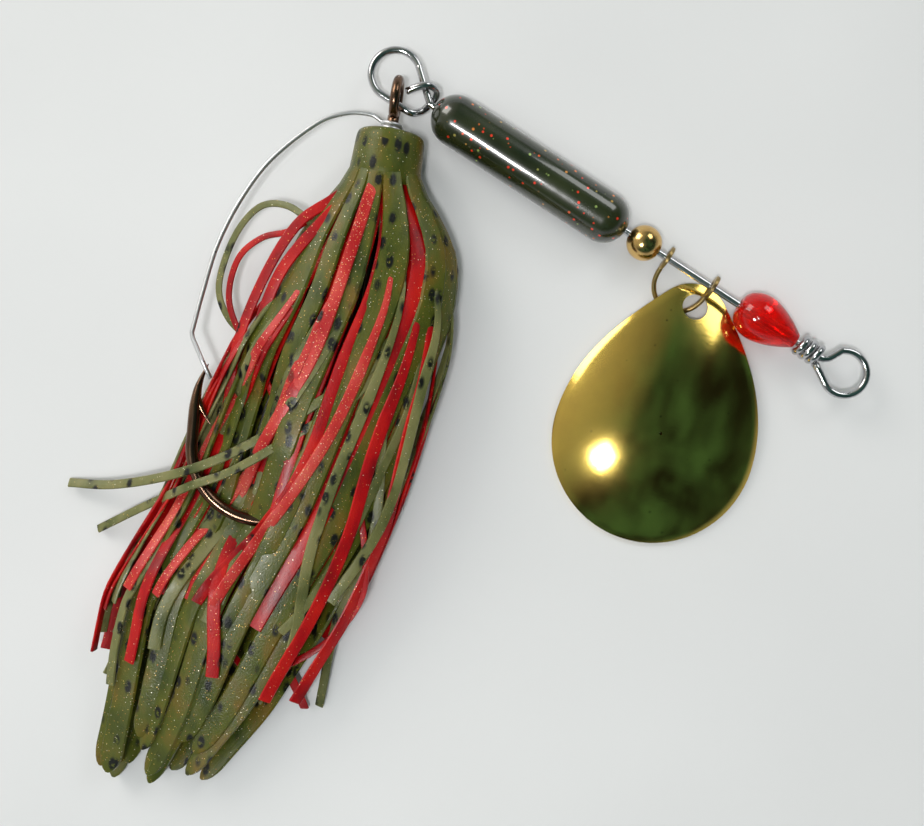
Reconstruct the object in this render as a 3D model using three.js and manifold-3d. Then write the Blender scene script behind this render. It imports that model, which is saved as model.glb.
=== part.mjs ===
// An in-line spinnerbait: a wire shaft with a line tie, a weighted body, bearing beads, a clevis and a
// cupped blade, and behind it a weedless hook dressed with a moulded skirt over a strand skirt.
// Millimetres. The lure lies on its side on a flat surface: +X runs along the shaft from the hook loop to
// the line tie, +Z is up, and the finished group stands with the bottom centre of its box at the origin.
import * as THREE from "three";
import { mergeVertices } from "three/addons/utils/BufferGeometryUtils.js";
import Module from "manifold-3d";

const wasm = await Module();
wasm.setup();

// ---- Driving dimensions ----
const BLADE_LENGTH = 30.2;
const BLADE_WIDTH = 23.2;
const BLADE_CUP = 3.1;
const BLADE_THICKNESS = 0.5;
const BLADE_HOLE_RADIUS = 1.45;
const BLADE_HOLE_FROM_TIP = 2.7;
const BODY_LENGTH = 25.5;
const BODY_RADIUS = 2.9;
const WIRE_RADIUS = 0.42;
const SHAFT_BORE_RADIUS = 0.56;
const BRASS_BEAD_RADIUS = 2.0;
const RED_BEAD_LENGTH = 7.5;
const RED_BEAD_RADIUS = 2.7;
const LINE_TIE_RADIUS = 2.5;
const REAR_LOOP_RADIUS = 2.75;
const CLEVIS_WIDTH = 6.0;
const CLEVIS_DEPTH = 4.35;
const CLEVIS_WIRE_RADIUS = 0.275;
const CLEVIS_EAR_RADIUS = 1.4;
const CLEVIS_EAR_THICKNESS = 0.45;
const HOOK_WIRE_RADIUS = 0.65;
const HOOK_SHANK_END = 40.6;
const HOOK_GAPE = 16.2;
const EYE_WIRE_RADIUS = 0.55;
const EYE_RADIUS = 2.0;
const GUARD_WIRE_RADIUS = 0.25;
const COLLAR_RADIUS = 3.9;
const COLLAR_TOP = 4.1;
const COLLAR_LENGTH = 5.0;
const MOULDED_TAIL = 82;
const CLEARANCE = 0.3; // between pieces that touch on the real lure

// ---- Places along the shaft, from the middle of the body ----
const SHAFT_HEIGHT = BODY_RADIUS + 0.02; // the body lies on the surface
const BODY_FRONT = BODY_LENGTH / 2;
const BRASS_BEAD_X = BODY_FRONT + 0.5 + BRASS_BEAD_RADIUS;
const CLEVIS_X = BRASS_BEAD_X + BRASS_BEAD_RADIUS + 1.1 + CLEVIS_WIDTH / 2;
const RED_BEAD_X = CLEVIS_X + CLEVIS_WIDTH / 2 + 3.6;
const WRAP_START_X = RED_BEAD_X + RED_BEAD_LENGTH + 0.6;
const WRAP_TURNS = 3;
const WRAP_PITCH = 0.92;
const WRAP_RADIUS = 0.97; // of the wire's centre, round the shaft
const APEX_X = WRAP_START_X + WRAP_TURNS * WRAP_PITCH;
const LINE_TIE_X = APEX_X + 3.2;
const REAR_LOOP = new THREE.Vector3(-BODY_FRONT - 5.65, 0.68, SHAFT_HEIGHT);
const HOOK_ANGLE = THREE.MathUtils.degToRad(-66); // the hook's direction from the shaft's
const HOOK_EYE = new THREE.Vector2(1.7, -2.35); // the eye's centre from the rear loop's centre
const SHANK_HEIGHT = 3.78; // at the eye
const SHANK_RISE = 0.033; // for each millimetre along the shank
const HOOK_ROLL = 0.02; // rise of the point's side for each millimetre from the shank

const vec = (x, y, z) => new THREE.Vector3(x, y, z);

// ---- Shared shape makers ----

// A curve whose sections lie exactly on the given points, however they are spaced.
class Stations extends THREE.Curve {
  constructor(points) {
    super();
    this.points = points;
  }
  getPoint(t, target = new THREE.Vector3()) {
    const place = t * (this.points.length - 1);
    const index = Math.min(Math.floor(place), this.points.length - 2);
    return target.lerpVectors(this.points[index], this.points[index + 1], place - index);
  }
  getPointAt(t, target) {
    return this.getPoint(t, target);
  }
  getTangentAt(t, target = new THREE.Vector3()) {
    const index = Math.round(t * (this.points.length - 1));
    const next = this.points[Math.min(index + 1, this.points.length - 1)];
    const last = this.points[Math.max(index - 1, 0)];
    return target.subVectors(next, last).normalize();
  }
}

// Points of a smooth curve through hand-placed ones.
function smooth(points, count) {
  return new THREE.CatmullRomCurve3(points, false, "centripetal").getPoints(count);
}

function circleShape(radius, sides) {
  const corners = [];
  for (let i = 0; i < sides; i++) {
    const angle = (2 * Math.PI * i) / sides;
    corners.push(new THREE.Vector2(radius * Math.cos(angle), radius * Math.sin(angle)));
  }
  return new THREE.Shape(corners);
}

// A round wire through the points.
function wire(points, radius, sides = 8) {
  return new THREE.ExtrudeGeometry(circleShape(radius, sides), {
    steps: points.length - 1,
    extrudePath: new Stations(points),
  });
}

// A closed skin over rings that all have the same number of points.
function loft(rings) {
  const sides = rings[0].length;
  const positions = rings.flat().flatMap((p) => [p.x, p.y, p.z]);
  const faces = [];
  for (let r = 0; r < rings.length - 1; r++) {
    for (let s = 0; s < sides; s++) {
      const a = r * sides + s;
      const b = r * sides + ((s + 1) % sides);
      faces.push(a, b, a + sides, b, b + sides, a + sides);
    }
  }
  const last = (rings.length - 1) * sides;
  for (let s = 1; s < sides - 1; s++) {
    faces.push(0, s + 1, s, last, last + s, last + s + 1);
  }
  return new THREE.BufferGeometry()
    .setAttribute("position", new THREE.Float32BufferAttribute(positions, 3))
    .setIndex(faces);
}

// A round bar through the points whose radius changes along it.
function taperedBar(points, radiusAt, sides) {
  const count = points.length - 1;
  const frames = new Stations(points).computeFrenetFrames(count, false);
  return loft(
    points.map((point, i) => {
      const ring = [];
      for (let s = 0; s < sides; s++) {
        const angle = (2 * Math.PI * s) / sides;
        const radius = radiusAt(i / count);
        ring.push(
          point
            .clone()
            .addScaledVector(frames.normals[i], radius * Math.cos(angle))
            .addScaledVector(frames.binormals[i], radius * Math.sin(angle)),
        );
      }
      return ring;
    }),
  );
}

// A body of revolution round the X axis, from a closed profile of [x, radius].
function turned(profile, segments) {
  const points = profile.map(([x, radius]) => new THREE.Vector2(radius, x));
  points.push(points[0].clone());
  return new THREE.LatheGeometry(points, segments).rotateZ(-Math.PI / 2);
}

function toSolid(geometry) {
  const bare = new THREE.BufferGeometry().setAttribute("position", geometry.getAttribute("position"));
  if (geometry.index) bare.setIndex(geometry.index);
  const merged = mergeVertices(bare, 1e-4);
  return new wasm.Manifold(
    new wasm.Mesh({
      numProp: 3,
      vertProperties: merged.attributes.position.array,
      triVerts: new Uint32Array(merged.index.array),
    }),
  );
}

function toGeometry(solid) {
  const mesh = solid.getMesh();
  return new THREE.BufferGeometry()
    .setAttribute("position", new THREE.BufferAttribute(mesh.vertProperties, 3))
    .setIndex(new THREE.BufferAttribute(mesh.triVerts, 1));
}

const join = (...geometries) =>
  toGeometry(geometries.map(toSolid).reduce((whole, piece) => whole.add(piece)));

// ---- Materials ----
const paint = (color, roughness, metalness = 0) =>
  new THREE.MeshStandardMaterial({ color, roughness, metalness });
const STEEL = paint(0xb8bcc0, 0.22, 1);
const BRONZE = paint(0x4a3526, 0.3, 1);
const GOLD = paint(0xc79a3a, 0.18, 1);
const BODY_GREEN = paint(0x35421f, 0.2);
const RED_PLASTIC = paint(0xe01818, 0.12);
const SKIRT_GREEN = paint(0x6b6a2c, 0.35);
const SKIRT_RED = paint(0xb80a10, 0.35);
const BLACK_RUBBER = paint(0x1c1c1c, 0.7);

const lure = new THREE.Group();

function addMesh(group, name, geometry, material) {
  const mesh = new THREE.Mesh(geometry, material);
  mesh.name = name;
  group.add(mesh);
  return mesh;
}

// ---- Shaft: one length of wire, with the wrapped line tie in front and the hook loop behind ----

// The wrapped turns and the round eye in front of them, from the cut end to the shaft.
function lineTiePath() {
  const path = [];
  const perTurn = 12;
  for (let i = 0; i <= WRAP_TURNS * perTurn; i++) {
    const angle = Math.PI - 2 * Math.PI * (WRAP_TURNS - i / perTurn);
    const x = WRAP_START_X + (WRAP_PITCH * i) / perTurn;
    path.push(vec(x, WRAP_RADIUS * Math.cos(angle), SHAFT_HEIGHT + WRAP_RADIUS * Math.sin(-angle)));
  }
  const from = THREE.MathUtils.degToRad(-128);
  const to = THREE.MathUtils.degToRad(130);
  const steps = 22;
  for (let i = 0; i <= steps; i++) {
    const angle = from + ((to - from) * i) / steps;
    const x = LINE_TIE_X + LINE_TIE_RADIUS * Math.cos(angle);
    path.push(vec(x, LINE_TIE_RADIUS * Math.sin(angle), SHAFT_HEIGHT));
  }
  path.push(vec(APEX_X + 0.95, 0.62, SHAFT_HEIGHT));
  path.push(vec(APEX_X + 0.45, 0.16, SHAFT_HEIGHT));
  path.push(vec(APEX_X + 0.05, 0, SHAFT_HEIGHT));
  return path;
}

// The hook loop, from the shaft round to the turn over it and the cut end inside the loop.
function rearLoopPath() {
  const path = [vec(-BODY_FRONT - 0.35, 0, SHAFT_HEIGHT), vec(-BODY_FRONT - 0.75, 0.12, SHAFT_HEIGHT)];
  const from = THREE.MathUtils.degToRad(46);
  const to = THREE.MathUtils.degToRad(270);
  const steps = 18;
  for (let i = 0; i <= steps; i++) {
    const angle = from + ((to - from) * i) / steps;
    path.push(
      vec(
        REAR_LOOP.x + REAR_LOOP_RADIUS * Math.cos(angle),
        REAR_LOOP.y + REAR_LOOP_RADIUS * Math.sin(angle),
        SHAFT_HEIGHT,
      ),
    );
  }
  const legY = REAR_LOOP.y - REAR_LOOP_RADIUS;
  const turn = [
    vec(REAR_LOOP.x + 2.4, legY, 0),
    vec(REAR_LOOP.x + 3.8, legY + 0.12, -0.1),
    vec(REAR_LOOP.x + 4.5, legY + 0.9, -0.65),
    vec(REAR_LOOP.x + 4.85, 0, -0.97),
    vec(REAR_LOOP.x + 5.05, 1.15, -0.42),
    vec(REAR_LOOP.x + 4.8, 1.65, 0.1),
    vec(REAR_LOOP.x + 4.2, 1.6, 0.68),
    vec(REAR_LOOP.x + 3.6, 1.25, 1.0),
    vec(REAR_LOOP.x + 2.8, 0.45, 0.9),
    vec(REAR_LOOP.x + 2.2, -0.35, 0.6),
  ].map((p) => p.add(vec(0, 0, SHAFT_HEIGHT)));
  return path.concat(smooth(turn, 26));
}

addMesh(lure, "shaft_wire", wire(lineTiePath().concat(rearLoopPath()), WIRE_RADIUS), STEEL);

// ---- Pieces threaded on the shaft ----
const onShaft = new THREE.Group();
onShaft.position.z = SHAFT_HEIGHT;
lure.add(onShaft);

function bodyProfile() {
  const profile = [];
  const steps = 7;
  const bore = Math.asin(SHAFT_BORE_RADIUS / BODY_RADIUS);
  for (const end of [-1, 1]) {
    for (let i = 0; i <= steps; i++) {
      const share = end < 0 ? i / steps : 1 - i / steps;
      const angle = bore + (Math.PI / 2 - bore) * share;
      const x = end * (BODY_FRONT - BODY_RADIUS + BODY_RADIUS * Math.cos(angle));
      profile.push([x, BODY_RADIUS * Math.sin(angle)]);
    }
  }
  return profile;
}
addMesh(onShaft, "weighted_body", turned(bodyProfile(), 24), BODY_GREEN);

function ballProfile(radius) {
  const profile = [];
  const steps = 10;
  const bore = Math.asin(SHAFT_BORE_RADIUS / radius);
  for (let i = 0; i <= steps; i++) {
    const angle = bore + ((Math.PI - 2 * bore) * i) / steps;
    profile.push([-radius * Math.cos(angle), radius * Math.sin(angle)]);
  }
  return profile;
}
const brassBead = addMesh(onShaft, "brass_bead", turned(ballProfile(BRASS_BEAD_RADIUS), 20), GOLD);
brassBead.position.x = BRASS_BEAD_X;

// Round and fat behind, drawn out to a small flat nose in front.
function dropProfile() {
  const fat = 0.36 * RED_BEAD_LENGTH;
  const nose = 0.85;
  const profile = [[0.05, SHAFT_BORE_RADIUS]];
  const steps = 7;
  for (let i = 1; i <= steps; i++) {
    const angle = ((Math.PI / 2) * i) / steps;
    profile.push([fat * (1 - Math.cos(angle)), 0.8 + (RED_BEAD_RADIUS - 0.8) * Math.sin(angle)]);
  }
  for (let i = 1; i <= steps; i++) {
    const share = i / steps;
    const radius = nose + (RED_BEAD_RADIUS - nose) * (1 - Math.pow(share, 1.7));
    profile.push([fat + (RED_BEAD_LENGTH - fat) * share, radius]);
  }
  profile.push([RED_BEAD_LENGTH, SHAFT_BORE_RADIUS]);
  return profile;
}
const redBead = addMesh(onShaft, "red_bead", turned(dropProfile(), 20), RED_PLASTIC);
redBead.position.x = RED_BEAD_X;

// ---- Clevis: a wire stirrup with a pierced ear at each end ----
const CLEVIS_TILT = Math.atan2(SHAFT_HEIGHT - CLEVIS_WIRE_RADIUS - 0.1, CLEVIS_DEPTH); // down to the surface
const CLEVIS_REACH = Math.hypot(SHAFT_HEIGHT - CLEVIS_WIRE_RADIUS - 0.1, CLEVIS_DEPTH);

function clevisGeometry() {
  const half = CLEVIS_WIDTH / 2;
  const side = [
    [half, -CLEVIS_EAR_RADIUS + 0.35],
    [half - 0.1, -2.3],
    [half - 0.45, -3.4],
    [half - 1.15, -4.35],
    [half - 2.1, -CLEVIS_REACH + 0.12],
  ];
  const stirrup = [
    ...side.map(([x, y]) => vec(-x, y, 0)),
    vec(0, -CLEVIS_REACH, 0),
    ...side.map(([x, y]) => vec(x, y, 0)).reverse(),
  ];
  const ears = [-half, half].map((x) => {
    const ring = circleShape(CLEVIS_EAR_RADIUS, 20);
    ring.holes.push(new THREE.Path(circleShape(SHAFT_BORE_RADIUS + 0.04, 12).getPoints()));
    return new THREE.ExtrudeGeometry(ring, { depth: CLEVIS_EAR_THICKNESS, bevelEnabled: false })
      .translate(0, 0, -CLEVIS_EAR_THICKNESS / 2)
      .rotateY(Math.PI / 2)
      .translate(x, 0, 0);
  });
  return join(...ears, wire(smooth(stirrup, 30), CLEVIS_WIRE_RADIUS));
}
const clevis = addMesh(onShaft, "clevis", clevisGeometry(), GOLD);
clevis.position.x = CLEVIS_X;
clevis.rotation.x = CLEVIS_TILT;

// ---- Blade: a pear-shaped cupped leaf, hollow side down, hung through its hole ----
const BLADE_TIP = vec(CLEVIS_X + 1.95, -0.12, 0);
const BLADE_ANGLE = THREE.MathUtils.degToRad(-73.5);
const BLADE_TIP_LIFT = 0.8; // the tip end rests on the clevis wire

// The outline, from the tip at the origin along +X.
function bladeOutline() {
  const half = BLADE_WIDTH / 2;
  const tail = BLADE_LENGTH - half; // centre of the round end
  const shape = new THREE.Shape();
  shape.moveTo(0, 0);
  shape.bezierCurveTo(0.1, -1.6, 0.7, -2.5, 1.7, -3.4);
  shape.bezierCurveTo(5.6, -6.8, 11.2, -half, tail, -half);
  shape.absarc(tail, 0, half, -Math.PI / 2, Math.PI / 2, false);
  shape.bezierCurveTo(11.2, half, 5.6, 6.8, 1.7, 3.4);
  shape.bezierCurveTo(0.7, 2.5, 0.1, 1.6, 0, 0);
  return shape;
}

// Height of the cupped sheet above its rim.
function cupHeight(x, y) {
  const crown = 0.58 * BLADE_LENGTH;
  const reach = x < crown ? crown : BLADE_LENGTH - crown;
  const share = ((x - crown) / reach) ** 2 + (y / (BLADE_WIDTH / 2)) ** 2;
  return BLADE_CUP * (1 - share);
}

function bladeGeometry() {
  const outline = bladeOutline().getSpacedPoints(52);
  outline.pop();
  const centre = new THREE.Vector2(0.58 * BLADE_LENGTH, 0);
  const rings = 5;
  const layer = (drop) =>
    Array.from({ length: rings + 1 }, (_, r) =>
      outline.map((p) => {
        const q = centre.clone().lerp(p, 1 - r / (rings + 0.4));
        return vec(q.x, q.y, cupHeight(q.x, q.y) - drop);
      }),
    );
  const skin = loft([...layer(BLADE_THICKNESS).reverse(), ...layer(0)]);
  const hole = new THREE.CylinderGeometry(BLADE_HOLE_RADIUS, BLADE_HOLE_RADIUS, 8, 20)
    .rotateX(Math.PI / 2)
    .translate(BLADE_HOLE_FROM_TIP, 0, 0);
  return toGeometry(toSolid(skin).subtract(toSolid(hole)));
}
const blade = addMesh(lure, "blade", bladeGeometry(), GOLD);
blade.position.copy(BLADE_TIP).setZ(BLADE_THICKNESS + BLADE_TIP_LIFT);
blade.rotation.set(0, Math.asin(BLADE_TIP_LIFT / BLADE_LENGTH), BLADE_ANGLE, "ZYX");

// ---- Hook side, in its own frame: +X down the shank from the eye, the point towards -Y ----
const hookSide = new THREE.Group();
hookSide.position.set(REAR_LOOP.x + HOOK_EYE.x, REAR_LOOP.y + HOOK_EYE.y, 0);
hookSide.rotation.z = HOOK_ANGLE;
lure.add(hookSide);

const hookHeight = (along, across) => SHANK_HEIGHT + SHANK_RISE * along - HOOK_ROLL * across;

function hookGeometry() {
  const radius = HOOK_GAPE / 2;
  const path = [];
  for (const along of [EYE_RADIUS + 0.05, 9, 16, 23, 30, 35.5, HOOK_SHANK_END]) path.push([along, 0]);
  const steps = 14;
  for (let i = 1; i <= steps; i++) {
    const angle = (Math.PI * i) / steps;
    path.push([HOOK_SHANK_END + radius * Math.sin(angle), -radius * (1 - Math.cos(angle))]);
  }
  path.push([38.7, -HOOK_GAPE - 0.15], [37.0, -HOOK_GAPE - 0.25], [35.4, -HOOK_GAPE - 0.25]);
  path.push([34.0, -HOOK_GAPE], [32.5, -HOOK_GAPE + 0.45]);
  const points = path.map(([along, across]) => vec(along, across, hookHeight(along, across)));
  const needle = 1 - 4 / (points.length - 1);
  const bar = taperedBar(
    points,
    (t) => HOOK_WIRE_RADIUS * (t < needle ? 1 : 1 - 0.92 * ((t - needle) / (1 - needle)) ** 1.2),
    10,
  );
  const barbRoot = vec(36.7, -HOOK_GAPE, hookHeight(36.7, -HOOK_GAPE));
  const barbTip = vec(39.2, -HOOK_GAPE + 1.8, hookHeight(39.2, -HOOK_GAPE + 1.8));
  const barb = taperedBar([barbRoot, barbTip], (t) => 0.4 - 0.36 * t, 6);
  const eye = new THREE.TorusGeometry(EYE_RADIUS, EYE_WIRE_RADIUS, 10, 22)
    .rotateX(Math.PI / 2)
    .translate(0, 0, SHANK_HEIGHT);
  return join(bar, barb, eye);
}
addMesh(hookSide, "hook", hookGeometry(), BRONZE);

// Spring wire wound round the shank under the eye, bowed out and kinked over the point.
function guardPoints() {
  const coil = [];
  const turns = 1.5;
  const perTurn = 12;
  const coilRadius = HOOK_WIRE_RADIUS + GUARD_WIRE_RADIUS + 0.1;
  for (let i = 0; i <= turns * perTurn; i++) {
    const angle = (2 * Math.PI * i) / perTurn;
    const along = 3.72 - (0.5 * i) / perTurn;
    coil.push(vec(along, coilRadius * Math.cos(angle), hookHeight(along, 0) + coilRadius * Math.sin(angle)));
  }
  const bow = [
    vec(2.72, -1.35, 3.7),
    vec(2.25, -2.6, 3.85),
    vec(2.6, -5.2, 4.1),
    vec(4.3, -8.2, 4.4),
    vec(9.0, -12.4, 4.9),
    vec(14.0, -15.0, 5.3),
    vec(19.5, -16.7, 5.7),
    vec(25.0, -17.4, 6.1),
    vec(29.4, -17.8, 6.4),
    vec(30.0, -17.6, 6.42),
    vec(34.0, -15.0, 6.6),
  ];
  const kinked = smooth(bow.slice(0, 9), 28);
  return coil.concat(kinked, bow.slice(9));
}
addMesh(hookSide, "weed_guard", wire(guardPoints(), GUARD_WIRE_RADIUS), STEEL);

// ---- Skirts: strands spread over an oval that follows the shank and settles on the surface ----
// [distance from the eye, oval's centre across, half width, half height, height of its centre]
const OVALS = [
  [3.5, 0, 4.1, 3.85, 3.95],
  [9.0, 0.2, 4.4, 3.85, 4.0],
  [13, 0.6, 7.0, 4.4, 4.5],
  [17, 0.8, 9.2, 4.7, 4.8],
  [24, 0.3, 10.0, 4.8, 4.95],
  [35, -2.6, 11.0, 4.9, 5.2],
  [47, -5.4, 11.2, 4.7, 5.1],
  [60, -9.0, 10.6, 4.0, 4.4],
  [72, -11.5, 8.0, 2.9, 3.3],
  [82.5, -14.0, 5.6, 1.1, 1.5],
];

function ovalAt(along) {
  let i = 0;
  while (i < OVALS.length - 2 && OVALS[i + 1][0] < along) i++;
  const share = THREE.MathUtils.clamp((along - OVALS[i][0]) / (OVALS[i + 1][0] - OVALS[i][0]), 0, 1);
  return OVALS[i].map((value, k) => value + (OVALS[i + 1][k] - value) * share);
}

// A strand at one place round the oval, from one distance along the shank to another. It keeps clear of
// strands that stand one pitch away round the oval.
function strand(angle, pitch, shareAt, from, to, widthAt, thickness, steps) {
  const rings = [];
  for (let i = 0; i <= steps; i++) {
    const t = i / steps;
    const along = from + (to - from) * t;
    const [, centre, half, tall, height] = ovalAt(along);
    const share = shareAt(t);
    const middle = vec(
      along,
      centre + half * share * Math.cos(angle),
      height + tall * share * Math.sin(angle),
    );
    const across = vec(0, -half * Math.sin(angle), tall * Math.cos(angle)).normalize();
    const outward = vec(0, tall * Math.cos(angle), half * Math.sin(angle)).normalize();
    const room = pitch * share * Math.hypot(half * Math.sin(angle), tall * Math.cos(angle));
    const w = Math.min(widthAt(t), 0.78 * room) / 2;
    const h = thickness / 2;
    rings.push(
      [
        [w, -h],
        [-w, -h],
        [-w, h],
        [w, h],
      ].map(([a, b]) => middle.clone().addScaledVector(across, a).addScaledVector(outward, b)),
    );
  }
  return loft(rings);
}

// Evenly round the oval, leaving the point's side open for the bend and the weed guard.
const SLOT = THREE.MathUtils.degToRad(48);
const pitchOf = (count) => (2 * (Math.PI - SLOT)) / (count - 1);
const placesRound = (count) =>
  Array.from({ length: count }, (_, i) => -Math.PI + SLOT + i * pitchOf(count));

const ease = (t) => t * t * (3 - 2 * t);
const collarCentre = hookHeight(COLLAR_TOP + COLLAR_LENGTH / 2, 0);

function collarGeometry() {
  const bore = HOOK_WIRE_RADIUS + CLEARANCE;
  const profile = [
    [0, bore],
    [0, COLLAR_RADIUS - 0.6],
    [0.5, COLLAR_RADIUS - 0.1],
    [COLLAR_LENGTH, COLLAR_RADIUS + 0.05],
    [COLLAR_LENGTH, COLLAR_RADIUS - 1.0],
    [1.3, COLLAR_RADIUS - 1.0],
    [1.3, bore],
  ];
  return turned(profile, 24).translate(COLLAR_TOP, 0.1, collarCentre);
}

const MOULDED_STRANDS = 11;
const MOULDED_THICKNESS = 0.6;
const mouldedWidth = (t) => (t < 0.9 ? 1.45 + 0.35 * ease(Math.min(t * 4, 1)) : 1.8 - 11 * (t - 0.9));
const mouldedStrands = placesRound(MOULDED_STRANDS).map((angle, i) =>
  strand(
    angle,
    pitchOf(MOULDED_STRANDS),
    () => 0.95,
    COLLAR_TOP + COLLAR_LENGTH - 0.4,
    MOULDED_TAIL - 2.2 * ((i * 5) % 4),
    mouldedWidth,
    MOULDED_THICKNESS,
    16,
  ),
);
addMesh(hookSide, "moulded_skirt", join(collarGeometry(), ...mouldedStrands), SKIRT_GREEN);

// The rubber band that grips the strand skirt inside the collar.
const BAND_LENGTH = 2.8;
const band = turned(
  [
    [0, HOOK_WIRE_RADIUS + CLEARANCE],
    [0, COLLAR_RADIUS - 1.35],
    [BAND_LENGTH, COLLAR_RADIUS - 1.35],
    [BAND_LENGTH, HOOK_WIRE_RADIUS + CLEARANCE],
  ],
  16,
).translate(COLLAR_TOP + 1.65, 0.1, collarCentre);
addMesh(hookSide, "skirt_band", band, BLACK_RUBBER);

// Strands of the inner skirt: a ring of red ones round a ring of speckled green ones.
const STRAND_START = COLLAR_TOP + 1.65 + BAND_LENGTH + CLEARANCE;
function innerStrands(prefix, count, startShare, share, width, ends, material) {
  placesRound(count).forEach((angle, i) => {
    const end = ends[i % ends.length];
    const shareAt = (t) => startShare + (share - startShare) * ease(Math.min(t * 3.5, 1));
    const geometry = strand(angle, pitchOf(count), shareAt, STRAND_START, end, () => width, 0.5, 14);
    addMesh(hookSide, prefix + "_" + String(i + 1).padStart(2, "0"), geometry, material);
  });
}
innerStrands("red_strand", 12, 0.54, 0.7, 1.05, [66, 61, 68, 64], SKIRT_RED);
innerStrands("green_strand", 8, 0.33, 0.49, 0.8, [63, 67, 58, 61], SKIRT_GREEN);

// ---- Stand the lure on the origin ----
const box = new THREE.Box3().setFromObject(lure, true);
lure.position.set(-(box.min.x + box.max.x) / 2, -(box.min.y + box.max.y) / 2, -box.min.z);

export default lure;
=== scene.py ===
"""An in-line spinnerbait lying on a pale surface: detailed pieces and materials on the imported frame."""
import math
import random

import bpy
import numpy as np
from mathutils import Matrix, Vector


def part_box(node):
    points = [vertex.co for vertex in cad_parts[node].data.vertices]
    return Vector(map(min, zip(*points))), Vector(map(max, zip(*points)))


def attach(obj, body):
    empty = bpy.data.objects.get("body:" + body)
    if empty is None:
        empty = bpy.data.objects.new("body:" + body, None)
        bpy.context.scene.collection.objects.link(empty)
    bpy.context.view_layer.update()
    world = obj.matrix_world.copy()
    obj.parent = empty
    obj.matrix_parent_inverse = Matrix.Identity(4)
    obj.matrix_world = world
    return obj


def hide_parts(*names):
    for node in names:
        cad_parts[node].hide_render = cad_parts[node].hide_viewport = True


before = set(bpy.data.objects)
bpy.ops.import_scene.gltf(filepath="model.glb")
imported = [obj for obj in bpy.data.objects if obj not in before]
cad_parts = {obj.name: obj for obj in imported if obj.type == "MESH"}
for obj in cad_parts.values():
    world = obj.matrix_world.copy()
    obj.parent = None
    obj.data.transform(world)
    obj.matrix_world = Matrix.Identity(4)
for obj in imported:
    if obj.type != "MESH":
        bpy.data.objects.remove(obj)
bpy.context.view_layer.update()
MM = 0.001

# ---- Frame of the parts: the middle of the weighted body, and the hook's eye ----
lo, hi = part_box("weighted_body")
BODY = Vector(((lo.x + hi.x) / 2, (lo.y + hi.y) / 2, 0)) / MM
BODY_RADIUS = (hi.y - lo.y) / 2 / MM
SHAFT_Z = (hi.z + lo.z) / 2 / MM
# Heights of the blade, the hook, the guard and the strands on the ovals are given for a shaft at 2.92.
LIFT = SHAFT_Z - 2.92
lo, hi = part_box("brass_bead")
BRASS_X = (lo.x + hi.x) / 2 / MM - BODY.x
HOOK_ANGLE = math.radians(-66)
LOOP_CENTRE = (-18.4, 0.68)  # the rear loop's centre, from the middle of the body
EYE_FROM_LOOP = (1.7, -2.35)
EYE = Vector((BODY.x + LOOP_CENTRE[0] + EYE_FROM_LOOP[0], BODY.y + LOOP_CENTRE[1] + EYE_FROM_LOOP[1], 0))


def on_shaft(x, y, z):
    return Vector((BODY.x + x, BODY.y + y, z))


def on_hook(u, v, z):
    """u down the shank from the eye, v across it away from the point's side."""
    c, s = math.cos(HOOK_ANGLE), math.sin(HOOK_ANGLE)
    return Vector((EYE.x + c * u - s * v, EYE.y + s * u + c * v, z))


# ---- Camera: straight above, turned so that the shaft rises to the left ----
CAMERA_AT = on_shaft(8.5, -27.1, 133)
camera = bpy.data.objects.new("camera", bpy.data.cameras.new("camera"))
bpy.context.scene.collection.objects.link(camera)
camera.location = CAMERA_AT * MM
camera.rotation_euler = (0, 0, math.radians(33))
camera.data.sensor_width = 36
camera.data.lens = 45.2
camera.data.clip_start = 0.005
bpy.context.scene.camera = camera


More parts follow.
